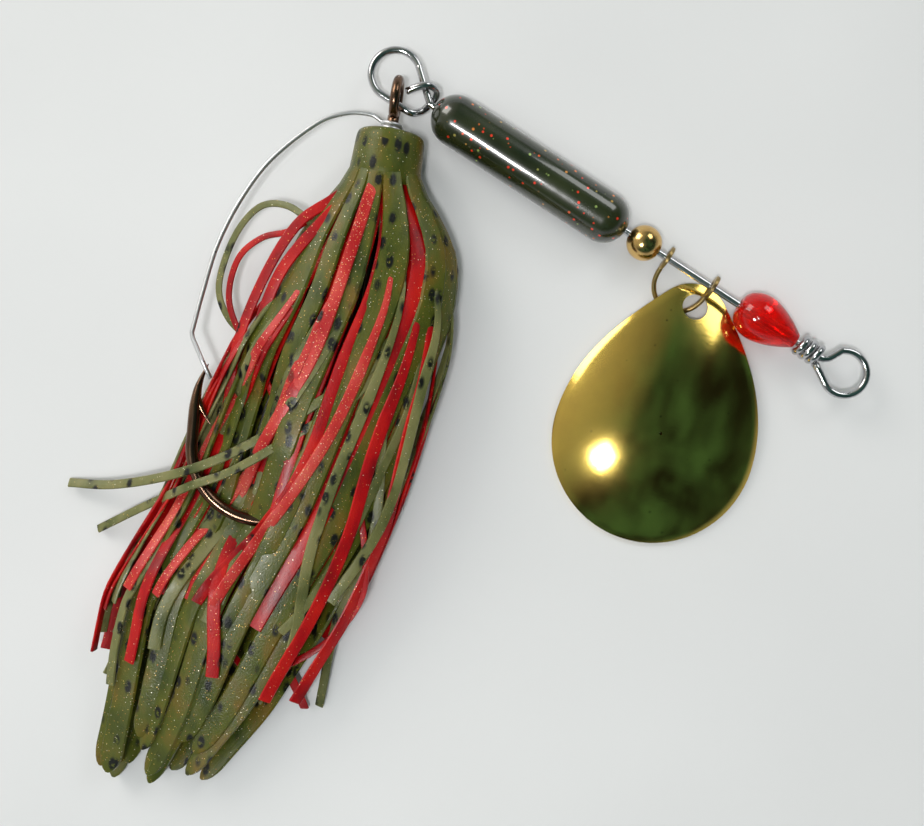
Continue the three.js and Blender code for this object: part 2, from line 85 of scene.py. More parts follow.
# ---- Node helper ----
class Nodes:
    """Builds a material's nodes in few words."""

    def __init__(self, tree):
        self.tree = tree
        tree.nodes.clear()

    def add(self, kind, inputs=None, **settings):
        node = self.tree.nodes.new(kind)
        for key, value in settings.items():
            setattr(node, key, value)
        for key, value in (inputs or {}).items():
            if isinstance(value, bpy.types.NodeSocket):
                self.tree.links.new(value, node.inputs[key])
            else:
                node.inputs[key].default_value = value
        return node

    def place(self, scale, turn=0.0):
        coord = self.add("ShaderNodeTexCoord")
        turned = self.add(
            "ShaderNodeVectorRotate",
            {"Vector": coord.outputs["Object"], "Angle": turn, "Axis": (0, 0, 1)},
        )
        return self.add("ShaderNodeMapping", {"Vector": turned.outputs[0], "Scale": scale}).outputs[0]

    def noise(self, vector, scale, detail=3.0, rough=0.5):
        inputs = {"Vector": vector, "Scale": scale, "Detail": detail, "Roughness": rough}
        return self.add("ShaderNodeTexNoise", inputs).outputs["Fac"]

    def ramp(self, value, stops):
        node = self.add("ShaderNodeValToRGB", {"Fac": value})
        node.color_ramp.elements[0].position = stops[0][0]
        node.color_ramp.elements[0].color = (*stops[0][1], 1)
        node.color_ramp.elements[1].position = stops[-1][0]
        node.color_ramp.elements[1].color = (*stops[-1][1], 1)
        for at, color in stops[1:-1]:
            node.color_ramp.elements.new(at).color = (*color, 1)
        return node.outputs["Color"]

    def steps(self, value, low, high):
        inputs = {"Value": value, "From Min": low, "From Max": high}
        return self.add("ShaderNodeMapRange", inputs).outputs["Result"]

    def mix(self, factor, a, b):
        node = self.add("ShaderNodeMix", data_type="RGBA")
        for index, value in ((0, factor), (6, a), (7, b)):
            if isinstance(value, bpy.types.NodeSocket):
                self.tree.links.new(value, node.inputs[index])
            elif isinstance(value, tuple):
                node.inputs[index].default_value = (*value, 1)
            else:
                node.inputs[index].default_value = value
        return node.outputs[2]

    def bump(self, height, strength, distance):
        inputs = {"Height": height, "Strength": strength, "Distance": distance}
        return self.add("ShaderNodeBump", inputs).outputs["Normal"]

    def finish(self, inputs):
        shader = self.add("ShaderNodeBsdfPrincipled", inputs)
        out = self.add("ShaderNodeOutputMaterial")
        self.tree.links.new(shader.outputs[0], out.inputs[0])


def material(name, build):
    made = bpy.data.materials.new(name)
    made.use_nodes = True
    build(Nodes(made.node_tree))
    return made


def flakes(n, vector, scale, size, rarity):
    """1 on scattered round flakes, and a colour that differs from flake to flake."""
    cells = n.add("ShaderNodeTexVoronoi", {"Vector": vector, "Scale": scale, "Randomness": 1.0})
    inside = n.steps(cells.outputs["Distance"], size, size * 0.6)
    pick = n.add("ShaderNodeSeparateColor", {"Color": cells.outputs["Color"]})
    rare = n.steps(pick.outputs[0], rarity + 0.01, rarity - 0.01)
    both = n.add("ShaderNodeMath", {0: inside, 1: rare}, operation="MULTIPLY")
    return both.outputs[0], pick.outputs[1]


def skirt_rubber(base, patch, dark, speck, glitter, spots, rough):
    """Coloured silicone with dark spots in it and fine bright glitter; glitter and spots are shares of 1."""

    def build(n):
        along = n.place((520, 1000, 1000), -HOOK_ANGLE)
        fine = n.place((1000, 1000, 1000))
        tone = n.noise(along, 0.35, 4.0)
        color = n.ramp(tone, [(0.3, dark), (0.5, base), (0.68, patch)])
        spot, _ = flakes(n, along, 0.85, 0.44, spots)
        ragged = n.noise(fine, 2.2, 2.0)
        torn = n.steps(ragged, 0.33, 0.43)
        spot = n.add("ShaderNodeMath", {0: spot, 1: torn}, operation="MULTIPLY").outputs[0]
        shine, hue = flakes(n, fine, 4.8, 0.3, glitter)
        sparkle = n.ramp(hue, [(0.2, (0.75, 0.5, 0.14)), (0.55, speck), (0.8, (0.85, 0.82, 0.62))])
        color = n.mix(shine, color, sparkle)
        color = n.mix(spot, color, (0.004, 0.005, 0.004))
        grain = n.noise(fine, 5.0, 2.0)
        n.finish(
            {
                "Base Color": color,
                "Metallic": n.add("ShaderNodeMath", {0: shine, 1: 0.7}, operation="MULTIPLY").outputs[0],
                "Roughness": n.add(
                    "ShaderNodeMapRange", {"Value": tone, "To Min": rough - 0.08, "To Max": rough + 0.1}
                ).outputs[0],
                "Subsurface Weight": 0.25,
                "Subsurface Radius": (1.0, 0.6, 0.3),
                "Subsurface Scale": 0.0006,
                "Specular IOR Level": 0.3,
                "Coat Weight": 0.06,
                "Coat Roughness": 0.2,
                "Normal": n.bump(grain, 0.35, 0.00012),
            }
        )

    return build


GREEN = material(
    "green_silicone",
    skirt_rubber(
        base=(0.078, 0.088, 0.009),
        patch=(0.14, 0.09, 0.01),
        dark=(0.034, 0.05, 0.007),
        speck=(0.4, 0.1, 0.03),
        glitter=0.22,
        spots=0.5,
        rough=0.36,
    ),
)
GREY_GREEN = material(
    "speckled_silicone",
    skirt_rubber(
        base=(0.14, 0.145, 0.05),
        patch=(0.2, 0.19, 0.075),
        dark=(0.06, 0.075, 0.02),
        speck=(0.4, 0.3, 0.15),
        glitter=0.12,
        spots=0.6,
        rough=0.38,
    ),
)
RED = material(
    "red_silicone",
    skirt_rubber(
        base=(0.36, 0.001, 0.003),
        patch=(0.5, 0.008, 0.003),
        dark=(0.15, 0.001, 0.003),
        speck=(0.9, 0.2, 0.05),
        glitter=0.1,
        spots=0.04,
        rough=0.42,
    ),
)
# A lighter pink-red copy of the red silicone, with more glitter: painted sheen that stands in for flash glare
# on some strands.
RED_PAINTED_SHEEN = material(
    "red_silicone_painted_sheen",
    skirt_rubber(
        base=(0.5, 0.035, 0.03),
        patch=(0.56, 0.08, 0.06),
        dark=(0.36, 0.008, 0.01),
        speck=(0.95, 0.4, 0.2),
        glitter=0.5,
        spots=0.03,
        rough=0.34,
    ),
)


def metal(color, worn, rough, scratch, stretch=(1000, 1000, 1000), turn=0.0, speck=0.0):
    """Polished metal with fine scratches, handling marks and a slow change of tone."""

    def build(n):
        place = n.place((1000, 1000, 1000), turn)
        lines = n.place(stretch, turn)
        smear = n.noise(place, 0.3, 4.0)
        hair = n.noise(lines, 3.0, 3.0, 0.7)
        tone = n.mix(n.steps(smear, 0.35, 0.7), color, worn)
        dots, _ = flakes(n, place, 1.6, 0.2, speck)
        tone = n.mix(dots, tone, tuple(0.25 * c for c in worn))
        shine = n.add("ShaderNodeMapRange", {"Value": smear, "To Min": rough * 0.7, "To Max": rough * 1.5})
        n.finish(
            {
                "Base Color": tone,
                "Metallic": 1.0,
                "Roughness": shine.outputs[0],
                "Normal": n.bump(hair, scratch, 0.00004),
            }
        )

    return build


STEEL = material("steel_wire", metal((0.6, 0.6, 0.61), (0.42, 0.42, 0.43), 0.16, 0.25, speck=0.08))
GUARD_STEEL = material("spring_wire", metal((0.78, 0.78, 0.79), (0.62, 0.62, 0.63), 0.34, 0.25, speck=0.05))
BRONZE = material("bronzed_wire", metal((0.2, 0.115, 0.07), (0.09, 0.055, 0.04), 0.2, 0.3, speck=0.1))
BRASS = material("brass", metal((0.8, 0.53, 0.2), (0.6, 0.38, 0.13), 0.17, 0.3, speck=0.15))
OLD_BRASS = material("aged_brass", metal((0.46, 0.33, 0.13), (0.25, 0.18, 0.08), 0.3, 0.4, speck=0.2))
GOLD = material(
    "gold_plate",
    metal((0.88, 0.62, 0.14), (0.78, 0.55, 0.13), 0.12, 0.12, (1000, 260, 1000), math.radians(73.5), 0.05),
)


def body_paint(n):
    place = n.place((1000, 1000, 1000))
    tone = n.noise(place, 0.22, 3.0)
    color = n.ramp(tone, [(0.3, (0.009, 0.013, 0.004)), (0.7, (0.024, 0.03, 0.008))])
    shine, hue = flakes(n, place, 1.2, 0.22, 0.75)
    flake_colors = [(0.45, (0.9, 0.05, 0.02)), (0.6, (0.85, 0.22, 0.04)), (0.85, (0.3, 0.42, 0.12))]
    color = n.mix(shine, color, n.ramp(hue, flake_colors))
    rough = n.add("ShaderNodeMapRange", {"Value": tone, "To Min": 0.2, "To Max": 0.34})
    n.finish(
        {
            "Base Color": color,
            "Metallic": n.add("ShaderNodeMath", {0: shine, 1: 0.3}, operation="MULTIPLY").outputs[0],
            "Roughness": rough.outputs[0],
            "Coat Weight": 1.0,
            "Coat Roughness": 0.05,
            "Normal": n.bump(n.noise(place, 0.6, 2.0), 0.15, 0.0001),
        }
    )


def red_plastic(n):
    place = n.place((1000, 1000, 1000))
    cloud = n.noise(place, 0.5, 2.0)
    rough = n.add("ShaderNodeMapRange", {"Value": cloud, "To Min": 0.03, "To Max": 0.1})
    n.finish(
        {
            "Base Color": n.ramp(cloud, [(0.3, (0.75, 0.004, 0.006)), (0.7, (0.92, 0.02, 0.01))]),
            "Roughness": rough.outputs[0],
            "IOR": 1.49,
            "Transmission Weight": 0.75,
            "Normal": n.bump(cloud, 0.1, 0.0001),
        }
    )


def band_rubber(n):
    place = n.place((1000, 1000, 1000))
    n.finish(
        {
            "Base Color": n.ramp(n.noise(place, 1.0), [(0.3, (0.01, 0.01, 0.01)), (0.7, (0.03, 0.03, 0.03))]),
            "Roughness": 0.6,
            "Normal": n.bump(n.noise(place, 4.0), 0.4, 0.0001),
        }
    )


BODY_PAINT = material("body_paint", body_paint)
RED_PLASTIC = material("clear_red_plastic", red_plastic)
BAND_RUBBER = material("band_rubber", band_rubber)


# ---- Mesh helpers; points are in millimetres ----
def piece(name, points, faces, finish, body, slot, *nodes, sharp=40):
    mesh = bpy.data.meshes.new(name)
    mesh.from_pydata([Vector(p) * MM for p in points], [], faces)
    mesh.validate()
    made = bpy.data.objects.new(name, mesh)
    bpy.context.scene.collection.objects.link(made)
    mesh.shade_smooth()
    mesh.set_sharp_from_angle(angle=math.radians(sharp))
    mesh.materials.append(finish)
    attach(made, body)
    if nodes:
        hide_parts(*nodes)
    return made


def skin(rings, closed_ends=True):
    """Faces over rings of equal length."""
    sides = len(rings[0])
    points = [p for ring in rings for p in ring]
    faces = []
    for r in range(len(rings) - 1):
        for s in range(sides):
            a, b = r * sides + s, r * sides + (s + 1) % sides
            faces.append((a, b, b + sides, a + sides))
    if closed_ends:
        faces.append(tuple(range(sides))[::-1])
        last = (len(rings) - 1) * sides
        faces.append(tuple(range(last, last + sides)))
    return points, faces


def combine(*parts):
    points, faces = [], []
    for p, f in parts:
        offset = len(points)
        points += p
        faces += [tuple(i + offset for i in face) for face in f]
    return points, faces


def smooth(points, per=6):
    """A Catmull-Rom curve through the points."""
    pts = [Vector(p) for p in points]
    pts = [2 * pts[0] - pts[1]] + pts + [2 * pts[-1] - pts[-2]]
    out = []
    for i in range(1, len(pts) - 2):
        p0, p1, p2, p3 = pts[i - 1 : i + 3]
        for k in range(per):
            t = k / per
            out.append(
                0.5
                * (
                    2 * p1
                    + (p2 - p0) * t
                    + (2 * p0 - 5 * p1 + 4 * p2 - p3) * t * t
                    + (3 * p1 - p0 - 3 * p2 + p3) * t**3
                )
            )
    return out + [pts[-2]]


def tube(path, radius, sides=18):
    """A round bar along the path; radius is a number or a function of 0 to 1. The ends are rounded off."""
    radius_at = radius if callable(radius) else lambda t: radius
    count = len(path) - 1
    tangents = [
        (path[min(i + 1, count)] - path[max(i - 1, 0)]).normalized() for i in range(count + 1)
    ]
    normal = tangents[0].orthogonal().normalized()
    rings = []
    for i, (point, tangent) in enumerate(zip(path, tangents)):
        normal = (normal - tangent * normal.dot(tangent)).normalized()
        side = tangent.cross(normal)
        r = radius_at(i / count)
        ring = []
        for s in range(sides):
            a = 2 * math.pi * s / sides
            ring.append(point + (normal * math.cos(a) + side * math.sin(a)) * r)
        if i in (0, count):
            inner = [point + (q - point) * 0.6 + tangent * (0.25 * r if i else -0.25 * r) for q in ring]
            rings += [inner, ring] if i == 0 else [ring, inner]
        else:
            rings.append(ring)
    return skin(rings)


def lathe(profile, place, sides=64):
    """A ring of the closed profile [x, radius] round the shaft's line."""
    points, faces = [], []
    count = len(profile)
    for s in range(sides):
        a = 2 * math.pi * s / sides
        points += [place(x, r * math.cos(a), r * math.sin(a)) for x, r in profile]
    for s in range(sides):
        for k in range(count):
            a, b = s * count + k, s * count + (k + 1) % count
            c, d = ((s + 1) % sides) * count + (k + 1) % count, ((s + 1) % sides) * count + k
            faces.append((a, d, c, b))
    return points, faces


# ---- Shaft wire ----
WIRE = 0.42
BODY_FRONT = 12.75
BALL_RADIUS = 2.0
STIRRUP_HALF = 3.0
CLEVIS_X = BRASS_X + BALL_RADIUS + 1.1 + STIRRUP_HALF
RED_X = CLEVIS_X + 6.6
WRAP_X = RED_X + 8.1
APEX_X = WRAP_X + 2.76
TIE_X = APEX_X + 3.2
LOOP_RADIUS = 2.75
WRAP_RADIUS = 0.97
WRAP_TURNS = 3
WRAP_PITCH = 0.92
TIE_RADIUS = 2.5


def shaft_path():
    path = []
    for i in range(WRAP_TURNS * 36 + 1):
        angle = math.pi - 2 * math.pi * (WRAP_TURNS - i / 36)
        x = WRAP_X + WRAP_PITCH * i / 36
        path.append(on_shaft(x, WRAP_RADIUS * math.cos(angle), SHAFT_Z - WRAP_RADIUS * math.sin(angle)))
    front = [path[-1]]
    for i in range(41):
        angle = math.radians(-128 + 258 * i / 40)
        front.append(on_shaft(TIE_X + TIE_RADIUS * math.cos(angle), TIE_RADIUS * math.sin(angle), SHAFT_Z))
    front.append(on_shaft(APEX_X + 0.95, 0.62, SHAFT_Z))
    front.append(on_shaft(APEX_X + 0.45, 0.16, SHAFT_Z))
    front += [on_shaft(x, 0, SHAFT_Z) for x in (APEX_X, APEX_X - 2, 30, 24, 18, 12, 0, -8)]
    front += [on_shaft(-BODY_FRONT - 0.35, 0, SHAFT_Z), on_shaft(-BODY_FRONT - 0.75, 0.12, SHAFT_Z)]
    for i in range(33):
        angle = math.radians(46 + 224 * i / 32)
        x, y = LOOP_RADIUS * math.cos(angle), LOOP_RADIUS * math.sin(angle)
        front.append(on_shaft(LOOP_CENTRE[0] + x, LOOP_CENTRE[1] + y, SHAFT_Z))
    leg = LOOP_CENTRE[1] - LOOP_RADIUS
    turn = [
        (2.4, leg, 0),
        (3.8, leg + 0.12, -0.1),
        (4.5, leg + 0.9, -0.65),
        (4.85, 0, -0.97),
        (5.05, 1.15, -0.42),
        (4.8, 1.65, 0.1),
        (4.2, 1.6, 0.68),
        (3.6, 1.25, 1.0),
        (2.8, 0.45, 0.9),
        (2.2, -0.35, 0.6),
    ]
    front += [on_shaft(LOOP_CENTRE[0] + x, y, SHAFT_Z + z) for x, y, z in turn]
    return path[:-1] + smooth(front, 4)


piece("wire_shaft", *tube(shaft_path(), WIRE), STEEL, "shaft", "steel_wire", "shaft_wire", sharp=60)

# ---- Threaded pieces ----
BORE = 0.56


def capsule(half, radius):
    profile = []
    bore = math.asin(BORE / radius)
    for end in (-1, 1):
        for i in range(25):
            share = i / 24 if end < 0 else 1 - i / 24
            angle = bore + (math.pi / 2 - bore) * share
            profile.append((end * (half - radius + radius * math.cos(angle)), radius * math.sin(angle)))
    return profile


def along_shaft(centre):
    return lambda x, y, z: on_shaft(centre + x, y, SHAFT_Z + z)


body_mesh = lathe(capsule(BODY_FRONT, BODY_RADIUS), along_shaft(0), 96)
piece("capsule_body", *body_mesh, BODY_PAINT, "body", "body_paint", "weighted_body")

ball = []
for i in range(41):
    mouth = math.asin(BORE / BALL_RADIUS)
    angle = mouth + (math.pi - 2 * mouth) * i / 40
    ball.append((-BALL_RADIUS * math.cos(angle), BALL_RADIUS * math.sin(angle)))
piece("ball_bead", *lathe(ball, along_shaft(BRASS_X)), BRASS, "brass_bead", "brass", "brass_bead")

DROP_LENGTH = 7.5
FAT = 0.36 * DROP_LENGTH  # where the drop is thickest
drop = [(0.05, BORE)]
for i in range(1, 25):
    angle = math.pi / 2 * i / 24
    drop.append((FAT * (1 - math.cos(angle)), 0.8 + 1.9 * math.sin(angle)))
for i in range(1, 31):
    share = i / 30
    drop.append((FAT + (DROP_LENGTH - FAT) * share, 0.85 + 1.85 * (1 - share**1.7)))
drop.append((DROP_LENGTH, BORE))
piece("drop_bead", *lathe(drop, along_shaft(RED_X)), RED_PLASTIC, "red_bead", "red_plastic", "red_bead")

# ---- Clevis ----
DROOP, STAND_OFF = 2.545, 4.35  # from the shaft's line to the bow: downwards and sideways
TILT = math.atan2(DROOP, STAND_OFF)
REACH = math.hypot(DROOP, STAND_OFF)


def on_clevis(x, y, z):
    c, s = math.cos(TILT), math.sin(TILT)
    return on_shaft(CLEVIS_X + x, c * y - s * z, SHAFT_Z + s * y + c * z)


side = [(STIRRUP_HALF, -1.0), (2.9, -2.3), (2.55, -3.4), (1.85, -4.35), (0.9, -REACH + 0.12)]
stirrup = [(-x, y) for x, y in side] + [(0, -REACH)] + side[::-1]
parts = [tube(smooth([on_clevis(x, y, 0) for x, y in stirrup], 6), 0.275, 14)]
for x in (-STIRRUP_HALF, STIRRUP_HALF):
    half_ear = [(-0.225, BORE + 0.04), (-0.225, 1.3), (-0.14, 1.4)]
    ear = half_ear + [(-a, r) for a, r in half_ear[::-1]]
    parts.append(lathe(ear, lambda a, b, c, x=x: on_clevis(x + a, b, c), 40))
piece("stirrup_clevis", *combine(*parts), OLD_BRASS, "clevis", "brass", "clevis")

# ---- Blade ----
LENGTH, WIDTH, CUP, SHEET = 30.2, 23.2, 3.1, 0.5
TIP = (CLEVIS_X + 1.95, -0.12)
BLADE_ANGLE = math.radians(-73.5)
PITCH = math.asin(0.8 / LENGTH)


def on_blade(x, y, z):
    down, up = x * math.cos(PITCH) + z * math.sin(PITCH), z * math.cos(PITCH) - x * math.sin(PITCH)
    c, s = math.cos(BLADE_ANGLE), math.sin(BLADE_ANGLE)
    return on_shaft(TIP[0] + c * down - s * y, TIP[1] + s * down + c * y, 1.3 + up + LIFT)


def bezier(a, b, c, d, count):
    out = []
    for i in range(count):
        t = i / count
        w = ((1 - t) ** 3, 3 * t * (1 - t) ** 2, 3 * t * t * (1 - t), t**3)
        out.append(tuple(sum(k * p[j] for k, p in zip(w, (a, b, c, d))) for j in (0, 1)))
    return out


def blade_outline():
    half = WIDTH / 2
    tail = LENGTH - half
    lower = bezier((0, 0), (0.1, -1.6), (0.7, -2.5), (1.7, -3.4), 14)
    lower += bezier((1.7, -3.4), (5.6, -6.8), (11.2, -half), (tail, -half), 30)
    round_end = []
    for i in range(61):
        a = -math.pi / 2 + math.pi * i / 60
        round_end.append((tail + half * math.cos(a), half * math.sin(a)))
    return lower + round_end + [(x, -y) for x, y in lower[:0:-1]]


def cup(x, y):
    crown = 0.58 * LENGTH
    reach = crown if x < crown else LENGTH - crown
    return CUP * (1 - ((x - crown) / reach) ** 2 - (y / (WIDTH / 2)) ** 2)


def blade_parts():
    """Rings from the outline in to the crown on top and back out underneath, with the hole cut afterwards."""
    outline = blade_outline()
    cx = 0.58 * LENGTH
    rings = []
    shares = [1 - k / 26 for k in range(26)] + [0.012]
    for drop_, order in ((0.0, shares), (SHEET, shares[::-1])):
        for share in order:
            ring = []
            for x, y in outline:
                edge = 0.06 if share == 1.0 else 0.0
                px, py = cx + (x - cx) * share, y * share
                height = cup(px, py) - drop_ + (-edge if drop_ == 0.0 else edge)
                ring.append(on_blade(px, py, height))
            rings.append(ring)
    count = len(outline)
    points, faces = skin(rings[::-1], False)
    last = (len(rings) - 1) * count
    for s in range(count):
        faces.append((last + s, last + (s + 1) % count, (s + 1) % count, s))
    return points, faces


blade = piece("cupped_blade", *blade_parts(), GOLD, "blade", "gold_plate", "blade", sharp=50)
HOLE_X, HOLE_RADIUS = 2.7, 1.45
hole = bpy.data.objects.new("hole_cutter", bpy.data.meshes.new("hole_cutter"))
bpy.context.scene.collection.objects.link(hole)
cut_rings = []
for z in (-4, 4):
    turns = [2 * math.pi * s / 48 for s in range(48)]
    rim = [(HOLE_X + HOLE_RADIUS * math.cos(a), HOLE_RADIUS * math.sin(a)) for a in turns]
    cut_rings.append([on_blade(x, y, z) for x, y in rim])
cut_points, cut_faces = skin(cut_rings)
hole.data.from_pydata([p * MM for p in cut_points], [], cut_faces)
cut = blade.modifiers.new("hole", "BOOLEAN")
cut.object = hole
cut.solver = "EXACT"
with bpy.context.temp_override(object=blade, active_object=blade, selected_objects=[blade]):
    bpy.ops.object.modifier_apply(modifier=cut.name)
bpy.data.objects.remove(hole)
blade.data.shade_smooth()
blade.data.set_sharp_from_angle(angle=math.radians(50))


# ---- Hook ----
def shank_z(u, v=0.0):
    return 3.78 + 0.033 * u - 0.02 * v + LIFT


SHANK_END, BEND_RADIUS = 40.6, 8.1
EYE_RING, EYE_WIRE = 2.0, 0.55


def on_shank(u, v):
    return on_hook(u, v, shank_z(u, v))


def hook_parts():
    path = [(u, 0) for u in (2.05, 5, 9, 13, 17, 21, 25, 29, 33, 37, 39.4, SHANK_END)]
    for i in range(1, 33):
        a = math.pi * i / 32
        path.append((SHANK_END + BEND_RADIUS * math.sin(a), -BEND_RADIUS * (1 - math.cos(a))))
    path += [(38.7, -16.35), (37.0, -16.45), (35.4, -16.45), (34.0, -16.2), (32.5, -15.75)]
    path = smooth([on_shank(u, v) for u, v in path], 4)
    bar = tube(path, lambda t: 0.65 * (1 if t < 0.93 else 1 - 0.93 * ((t - 0.93) / 0.07) ** 1.2), 24)
    barb_tip = on_hook(39.2, -14.35, shank_z(39.2, -14.4))
    barb_line = smooth([on_shank(36.6, -16.2), on_shank(37.8, -15.5), barb_tip], 6)
    barb = tube(barb_line, lambda t: 0.42 - 0.38 * t, 12)
    sideways = on_hook(0, 1, 0) - on_hook(0, 0, 0)
    rings = []
    for a in np.linspace(0, 2 * math.pi, 61)[:-1]:
        middle = on_hook(EYE_RING * math.cos(a), 0, shank_z(0) + EYE_RING * math.sin(a))
        outwards = (on_hook(math.cos(a), 0, math.sin(a)) - on_hook(0, 0, 0)).normalized()
        turns = np.linspace(0, 2 * math.pi, 21)[:-1]
        rings.append([middle + (outwards * math.cos(b) + sideways * math.sin(b)) * EYE_WIRE for b in turns])
    ring_points, ring_faces = skin(rings + [rings[0]], False)
    return combine(bar, barb, (ring_points, ring_faces))


piece("bronzed_hook", *hook_parts(), BRONZE, "hook", "bronzed_steel", "hook", sharp=60)


def guard_path():
    coil = []
    for i in range(49):
        a = 2 * math.pi * i / 32
        u = 3.72 - 0.5 * i / 32
        coil.append(on_hook(u, math.cos(a), shank_z(u) + math.sin(a)))
    bow = [
        (2.72, -1.35, 3.7),
        (2.25, -2.6, 3.85),
        (2.6, -5.2, 4.1),
        (4.3, -8.2, 4.4),
        (9.0, -12.4, 4.9),
        (14.0, -15.0, 5.3),
        (19.5, -16.7, 5.7),
        (25.0, -17.4, 6.1),
        (29.4, -17.8, 6.4),
    ]
    past_kink = [(30.0, -17.6, 6.42), (32.0, -16.35, 6.51), (34.0, -15.0, 6.6)]
    path = coil[:-1] + smooth([coil[-1]] + [on_hook(u, v, z + LIFT) for u, v, z in bow], 8)
    return path + [on_hook(u, v, z + LIFT) for u, v, z in past_kink]


guard_mesh = tube(guard_path(), 0.25, 12)
piece("spring_guard", *guard_mesh, GUARD_STEEL, "weed_guard", "steel_wire", "weed_guard", sharp=60)

# ---- Skirts ----
# distance from the eye, oval's centre across, half width, half height, height of its centre
OVALS = [
    (3.5, 0.0, 4.1, 3.85, 3.95),
    (9.0, 0.1, 3.9, 3.8, 4.05),
    (13.0, 0.6, 7.0, 4.5, 4.6),
    (17.0, 0.8, 9.3, 4.8, 4.9),
    (23.0, 0.3, 10.1, 4.9, 5.0),
    (35.0, -2.8, 11.2, 4.9, 5.2),
    (47.0, -5.4, 11.4, 4.6, 5.0),
    (59.0, -9.6, 12.0, 3.9, 4.3),
    (70.0, -12.4, 10.5, 2.9, 3.3),
    (82.5, -17.0, 7.5, 1.3, 1.7),
]
TABLE = np.array(OVALS)
FINE = np.linspace(OVALS[0][0], OVALS[-1][0], 159)
SMOOTHED = np.array([np.interp(FINE, TABLE[:, 0], TABLE[:, k]) for k in range(1, 5)])
kernel = np.hanning(13)[1:-1] / np.hanning(13)[1:-1].sum()
SMOOTHED = np.array([np.convolve(np.pad(row, 5, mode="edge"), kernel, mode="valid") for row in SMOOTHED])


def oval(u):
    return [float(np.interp(u, FINE, row)) for row in SMOOTHED]


def under_hook(u, v, z):
    """Keeps strands beneath the bend and the point, where these lie over the skirt."""
    near = 1.0
    for depth in ((u - 30) / 5, (56 - u) / 6, (-5.5 - v) / 3):
        near *= min(1.0, max(0.0, depth))
    top = shank_z(u, v) - 1.35
    return z - near * max(0.0, z - top) * 0.97


LOWEST = 0.55  # above the floor
HIGHEST = 9.8  # strands above this are pressed down towards it


def on_oval(u, angle, share):
    centre, half, tall, height = oval(u)
    v = centre + half * share * math.cos(angle)
    z = max(LOWEST, height + tall * share * math.sin(angle))
    z -= 0.7 * max(0.0, z - HIGHEST)
    return on_hook(u, v, under_hook(u, v, z) + LIFT)


def ribbon(path, width_at, thick, twist, up=None):
    """A flat strand with rounded edges along the path. It faces straight up, or the way that up gives."""
    count = len(path) - 1
    rings = []
    for i, point in enumerate(path):
        tangent = (path[min(i + 1, count)] - path[max(i - 1, 0)]).normalized()
        out = up[i] if up else Vector((0, 0, 1))
        side = tangent.cross(out).normalized()
        out = side.cross(tangent)
        turn = Matrix.Rotation(twist * i / count, 3, tangent)
        side, out = turn @ side, turn @ out
        w, h = width_at(i / count) / 2, thick / 2
        profile = [(w, 0), (0.85 * w, 0.8 * h), (0.4 * w, h), (-0.4 * w, h), (-0.85 * w, 0.8 * h), (-w, 0)]
        profile += [(-0.85 * w, -0.8 * h), (-0.4 * w, -h), (0.4 * w, -h), (0.85 * w, -0.8 * h)]
        rings.append([point + side * a + out * b for a, b in profile])
    return skin(rings)


def ease(part):
    """Places along a strand, closer together towards its tip."""
    return 1 - (1 - part) ** 1.4


def skirt_strand(rng, angle, share, start, end, width, thick, wander, tip, drift, gather, narrow=0.0):
    """A strand that leaves the collar at one place round it, swells to its share of the oval and wanders."""
    phase, phase2 = rng.uniform(0, 6.28), rng.uniform(0, 6.28)
    rise = rng.uniform(0.34, 0.55) if share > 1 else 0.22
    path, faces_out = [], []
    steps = 46
    for i in range(steps + 1):
        t = ease(i / steps)
        u = start + (end - start) * t
        grown = min(1.0, t / rise)
        swell = gather + (share - gather) * grown * grown * (3 - 2 * grown)
        a = angle + drift * t * t + wander * t * (math.sin(phase + 5 * t) + 0.5 * math.sin(phase2 + 11 * t))
        r = (swell + 0.02 * math.sin(phase2 + 9 * t) * min(1, 3 * t)) * (1 - narrow * t * t)
        path.append(on_oval(u, a, r))
        _, half, tall, _ = oval(u)
        c, s = math.cos(HOOK_ANGLE), math.sin(HOOK_ANGLE)
        out_v, out_z = tall * math.cos(a), half * math.sin(a)
        faces_out.append(Vector((-s * out_v, c * out_v, out_z)).normalized())
    thin_root = 0.3 if share > 1 else 1.0

    def width_at(part):
        t = ease(part)
        return width * tip(t) * (thin_root + (1 - thin_root) * min(1.0, t / 0.45) ** 2)

    return ribbon(path, width_at, thick, rng.uniform(-0.4, 0.4), faces_out)


def round_tip(t):
    grow = 0.62 + 0.38 * min(1.0, t * 6)
    taper = 1.0 - 0.05 * max(0.0, (t - 0.5) / 0.5)
    return grow * taper * math.sqrt(max(0.04, 1 - max(0.0, (t - 0.965) / 0.0355) ** 2))


def square_tip(t):
    return 1.0


def strands(count, seed, low, high, make):
    """Strands spread evenly from low to high degrees round the skirt, each made by make."""
    rng = random.Random(seed)
    parts = []
    for i in range(count):
        angle = math.radians(low + (high - low) * (i + 0.5) / count)
        parts.append(make(rng, angle, i))
    return combine(*parts)


COLLAR_U, COLLAR_LENGTH = 4.1, 5.0
COLLAR_Z = shank_z(COLLAR_U + COLLAR_LENGTH / 2)
INNER_START = 8.4  # where the thin strands begin, inside the collar
THIN = 0.35
GAP_ANGLE = math.radians(52)  # a gap between two green strands, where the wide red shows


def collar_parts():
    """The moulded collar: soft rounded top edge, slightly flared foot, open inside."""
    outer = [(0.0, 3.2), (0.08, 3.45), (0.3, 3.68), (0.7, 3.8), (1.5, 3.86), (3.0, 3.93)]
    outer += [(4.4, 4.02), (5.3, 3.92), (5.8, 3.6)]
    inner = [(5.6, 3.2), (5.0, 3.1), (3.0, 2.95), (1.3, 2.9), (1.25, 0.95), (0.1, 0.95), (0.0, 1.1)]

    def place(x, y, z):
        return on_hook(COLLAR_U + x, 0.1 + y, COLLAR_Z + z)

    return lathe(outer + inner, place, 96)


